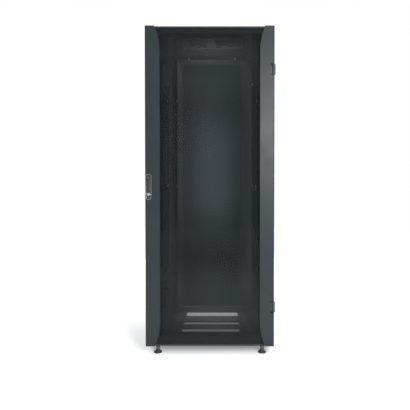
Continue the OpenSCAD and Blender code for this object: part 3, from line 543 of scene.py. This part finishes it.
def screws():
    heads = Shape()
    for low, high in islands("panel_screws"):
        x, y = middle_of(low, high)
        r = (high.x - low.x) / 2
        up = 1 if low.z < 1 else -1
        z = low.z if up > 0 else high.z
        heads.lathe((x, y, z), (0, 0, up), button_head(r, high.z - low.z, 1.6 * MM), 24)
    heads.done("pan_heads", "zinc", "cabinet", ("panel_screws",))


def hinge_pins():
    for end, body in (("front", "front_door"), ("rear", "rear_door")):
        joint = next(j for j in frame["joints"] if j["child"] == body)
        x, y = joint["pos_m"][:2]
        pins = Shape()
        for low, high in islands(end + "_hinge_brackets"):
            for z, way in ((low.z, -1), (high.z, 1)):
                pins.lathe((x, y, z - way * 0.3 * MM), (0, 0, way), in_mm(PIN_CAP), 24)
        pins.done(end + "_hinge_pin_caps", "zinc", "cabinet", material="dark_steel")


def finger_guards():
    """Wire rings and four arms over each fan; the left guard stands for the CAD node of both."""
    guard_low, guard_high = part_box("fan_guards")
    reach = min((guard_high.x - guard_low.x) / 2, GUARD_REACH)
    for side in ("left", "right"):
        low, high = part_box("fan_rotor_" + side)
        x, y = middle_of(low, high)
        centre = Vector((x, y, guard_low.z + WIRE_R))
        wires = Shape()
        for r in GUARD_RINGS:
            wires.tube(circle(x, y, guard_high.z - WIRE_R, r * MM, 48), WIRE_R, 8, True)
        for k in range(4):
            a = math.pi * (0.25 + k / 2)
            way = Vector((math.cos(a), math.sin(a), 0))
            start = centre + way * 9 * MM
            finish = centre + way * (reach - 3 * MM)
            wires.tube([start, (start + finish) / 2, finish], WIRE_R, 8)
            wires.lathe(finish - Vector((0, 0, WIRE_R)), (0, 0, 1), in_mm(GUARD_FOOT), 20)
        stands_for = ("fan_guards",) if side == "left" else ()
        wires.done("wire_guard_" + side, "zinc", "cabinet", stands_for)


def weld_beads():
    """Uneven beads round two sides of each post's ends."""
    rng = random.Random(7)
    beads = Shape()
    for side in ("left", "right"):
        for end in ("front", "rear"):
            low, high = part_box(f"post_{end}_{side}")
            inner_x, outer_x = (low.x, high.x) if side == "right" else (high.x, low.x)
            inner_y, outer_y = (low.y, high.y) if end == "rear" else (high.y, low.y)
            for z in (low.z, high.z):
                corners = [(inner_x, outer_y), (inner_x, inner_y), (outer_x, inner_y)]
                path = []
                for a, b in zip(corners, corners[1:]):
                    path += [(a[0] + (b[0] - a[0]) * t / 14, a[1] + (b[1] - a[1]) * t / 14, z)
                             for t in range(1, 14)]
                radii = [(1.3 + 0.35 * (k % 2) + rng.uniform(-0.15, 0.15)) * MM for k in range(len(path))]
                beads.tube(path, radii, 7)
    beads.done("weld_beads", "frame_coat", "cabinet", angle=60)


def rail_scales():
    """Printed marks at the units of each rail."""
    for name in ("front_left", "front_right", "rear_left", "rear_right"):
        low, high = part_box("rail_" + name)
        way = -1 if name.startswith("front") else 1
        face = low.y if way < 0 else high.y
        side = -1 if name.endswith("left") else 1
        inner = high.x if side < 0 else low.x
        first = (low.z + high.z - RACK_UNITS * UNIT) / 2
        marks = Shape()
        for k in range(RACK_UNITS + 1):
            reach = 13 * MM if k % 5 == 0 else 8 * MM
            centre = (inner + side * (20 * MM + reach / 2), face + way * -0.02 * MM, first + k * UNIT)
            marks.slab(centre, (-way, 0, 0), (0, 0, 1), reach / 2, 0.45 * MM,
                       depth=0.1 * MM, corner=0.3 * MM, edge=0.03 * MM, steps=2)
        marks.done("rail_marks_" + name, "rail_coat", "cabinet", material="print")


def door_gaskets():
    """Foam along the inner side of both strips, interrupted at the hinges."""
    for side in ("left", "right"):
        low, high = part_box("door_strip_" + side)
        x = (low.x + 7 * MM) if side == "left" else (high.x - 7 * MM)
        runs = [(low.z + 12 * MM, high.z - 12 * MM)]
        if side == "right":
            cuts = [(c[0].z - 6 * MM, c[1].z + 6 * MM) for c in islands("front_hinge_brackets")]
            cuts = sorted({(round(a, 3), round(b, 3)) for a, b in cuts})
            edges = [runs[0][0]] + [z for cut in cuts for z in cut] + [runs[0][1]]
            runs = list(zip(edges[::2], edges[1::2]))
        foam = Shape()
        for z0, z1 in runs:
            rows = max(2, int((z1 - z0) / 0.05))
            foam.loft([[(x + u * MM, high.y + (v - 0.05) * MM, z0 + (z1 - z0) * k / rows) for u, v in FOAM]
                       for k in range(rows + 1)])
        foam.done("door_gasket_" + side, "rubber", "front_door", material="foam")


def roof_brush():
    """Two holders under the cable opening, with three layers of bristles that meet in the middle."""
    low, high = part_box("roof_grommet")
    rng = random.Random(11)
    middle = (low.y + high.y) / 2
    half_x = (high.x - low.x) / 2 - 8 * MM
    under = low.z
    holders, bristles = Shape(), Shape()
    for way in (-1, 1):
        edge = middle + way * ((high.y - low.y) / 2 - 3 * MM)
        holders.slab((0, edge, under - 5 * MM), (1, 0, 0), (0, 1, 0), half_x + 3 * MM, 4.5 * MM,
                     depth=5 * MM, corner=1.2 * MM, edge=0.5 * MM)
        start = edge - way * 4 * MM
        for layer in range(3):
            z = under - (1.4 + 1.1 * layer) * MM
            count = int(2 * half_x / BRISTLE_PITCH)
            for k in range(count):
                x = -half_x + (k + 0.5 + rng.uniform(-0.3, 0.3)) * BRISTLE_PITCH
                reach = start - way * (abs(start - middle) + rng.uniform(-0.5, 2.0) * MM)
                lean = rng.uniform(-1.2, 1.2) * MM
                drop = rng.uniform(-0.5, 0.5) * MM
                thick = rng.uniform(0.55, 0.68) * MM
                rings = []
                for t, k_r in ((0, 1.0), (0.55, 0.95), (1, 0.75)):
                    y = start + (reach - start) * t
                    cx, cz, r = x + lean * t * t, z + drop * t * t, thick * k_r
                    rings.append([(cx - r, y, cz), (cx, y, cz - r), (cx + r, y, cz), (cx, y, cz + r)])
                bristles.loft(rings)
    holders.done("brush_holders", "black_plastic", "cabinet")
    bristles.done("brush_bristles", "black_plastic", "cabinet", material="nylon", angle=60)


screws()
hinge_pins()
finger_guards()
weld_beads()
rail_scales()
door_gaskets()
roof_brush()

# ------------------------------------------------------------------ studio

FLOOR_HALF = 9.0
FLOOR_GLOW = 0.24          # keeps the shadow under the cabinet light
# Strength of the unseen world, dark near the horizon so that little shows in the glass.
SKY = {"From Min": 0.1, "From Max": 0.8, "To Min": 0.13, "To Max": 1.25}

def pale_floor():
    mesh = bpy.data.meshes.new("floor")
    bm = bmesh.new()
    bmesh.ops.create_grid(bm, x_segments=8, y_segments=8, size=FLOOR_HALF)
    bm.to_mesh(mesh)
    bm.free()
    floor = bpy.data.objects.new("floor", mesh)
    floor.location.z = cad_low.z
    scene.collection.objects.link(floor)
    f = Finish("floor")
    f.set("Base Color", f.mix(f.span(f.noise(1.5, 4), 0, 1), (0.86, 0.86, 0.86), (0.89, 0.89, 0.89)))
    f.set("Roughness", f.span(f.noise(8, 4), 0.7, 0.8))
    f.set("Emission Strength", FLOOR_GLOW)
    mesh.materials.append(f.mat)
    return floor


def area_light(name, place, target, width, height, power, spread=180, glossy=True):
    data = bpy.data.lights.new(name, "AREA")
    data.shape = "RECTANGLE"
    data.size, data.size_y = width, height
    data.energy = power
    data.spread = math.radians(spread)
    light = bpy.data.objects.new(name, data)
    light.location = place
    light.rotation_euler = (Vector(target) - Vector(place)).to_track_quat("-Z", "Y").to_euler()
    light.visible_camera = False
    light.visible_glossy = glossy
    scene.collection.objects.link(light)
    return light


def studio_world():
    """White behind the cabinet as seen by the camera, and soft light from above for all else."""
    world = bpy.data.worlds.new("studio")
    scene.world = world
    world.use_nodes = True
    tree = world.node_tree
    tree.nodes.clear()

    def add(kind, **values):
        node = tree.nodes.new("ShaderNode" + kind)
        for key, value in values.items():
            node.inputs[key].default_value = value
        return node

    out = tree.nodes.new("ShaderNodeOutputWorld")
    mix = add("MixShader")
    path = add("LightPath")
    seen = add("Background", Color=(1, 1, 1, 1), Strength=1.0)
    fill = add("Background", Color=(0.96, 0.98, 1, 1))
    where = tree.nodes.new("ShaderNodeTexCoord")
    axes = add("SeparateXYZ")
    sky = tree.nodes.new("ShaderNodeMapRange")
    sky.interpolation_type = "SMOOTHSTEP"
    for key, value in SKY.items():
        sky.inputs[key].default_value = value
    tree.links.new(where.outputs["Generated"], axes.inputs[0])
    tree.links.new(axes.outputs["Z"], sky.inputs["Value"])
    tree.links.new(sky.outputs["Result"], fill.inputs["Strength"])
    tree.links.new(path.outputs["Is Camera Ray"], mix.inputs[0])
    tree.links.new(fill.outputs[0], mix.inputs[1])
    tree.links.new(seen.outputs[0], mix.inputs[2])
    tree.links.new(mix.outputs[0], out.inputs["Surface"])


def light_studio():
    floor = pale_floor()
    studio_world()
    area_light("key", (1.2, -3.2, 1.80), (0.3, -0.4, 1.40), 1.1, 1.25, 112)
    area_light("rear", (0.3, 3.4, 1.0), (0, 0.3, 0.2), 3.0, 1.2, 35)
    # Three soft lights between the front rails show what is behind the glass, and leave the floor alone.
    shaded = bpy.data.collections.new("shaded_from_inside")
    shaded.objects.link(floor)
    shaded.collection_objects[0].light_linking.link_state = "EXCLUDE"
    for light in (
        area_light("inside", (0.04, -0.26, 1.20), (-0.02, 0.4, 1.20), 0.22, 0.9, 3.2, 60, False),
        area_light("inside_low", (0.04, -0.10, 0.72), (0.0, 0.22, 0.08), 0.3, 0.3, 2.6, 60, False),
        area_light("inside_high", (0.04, -0.26, 1.54), (0.0, 0.22, 2.02), 0.3, 0.2, 2.6, 70),
    ):
        light.light_linking.receiver_collection = shaded
    scene.view_settings.view_transform = "Standard"


light_studio()
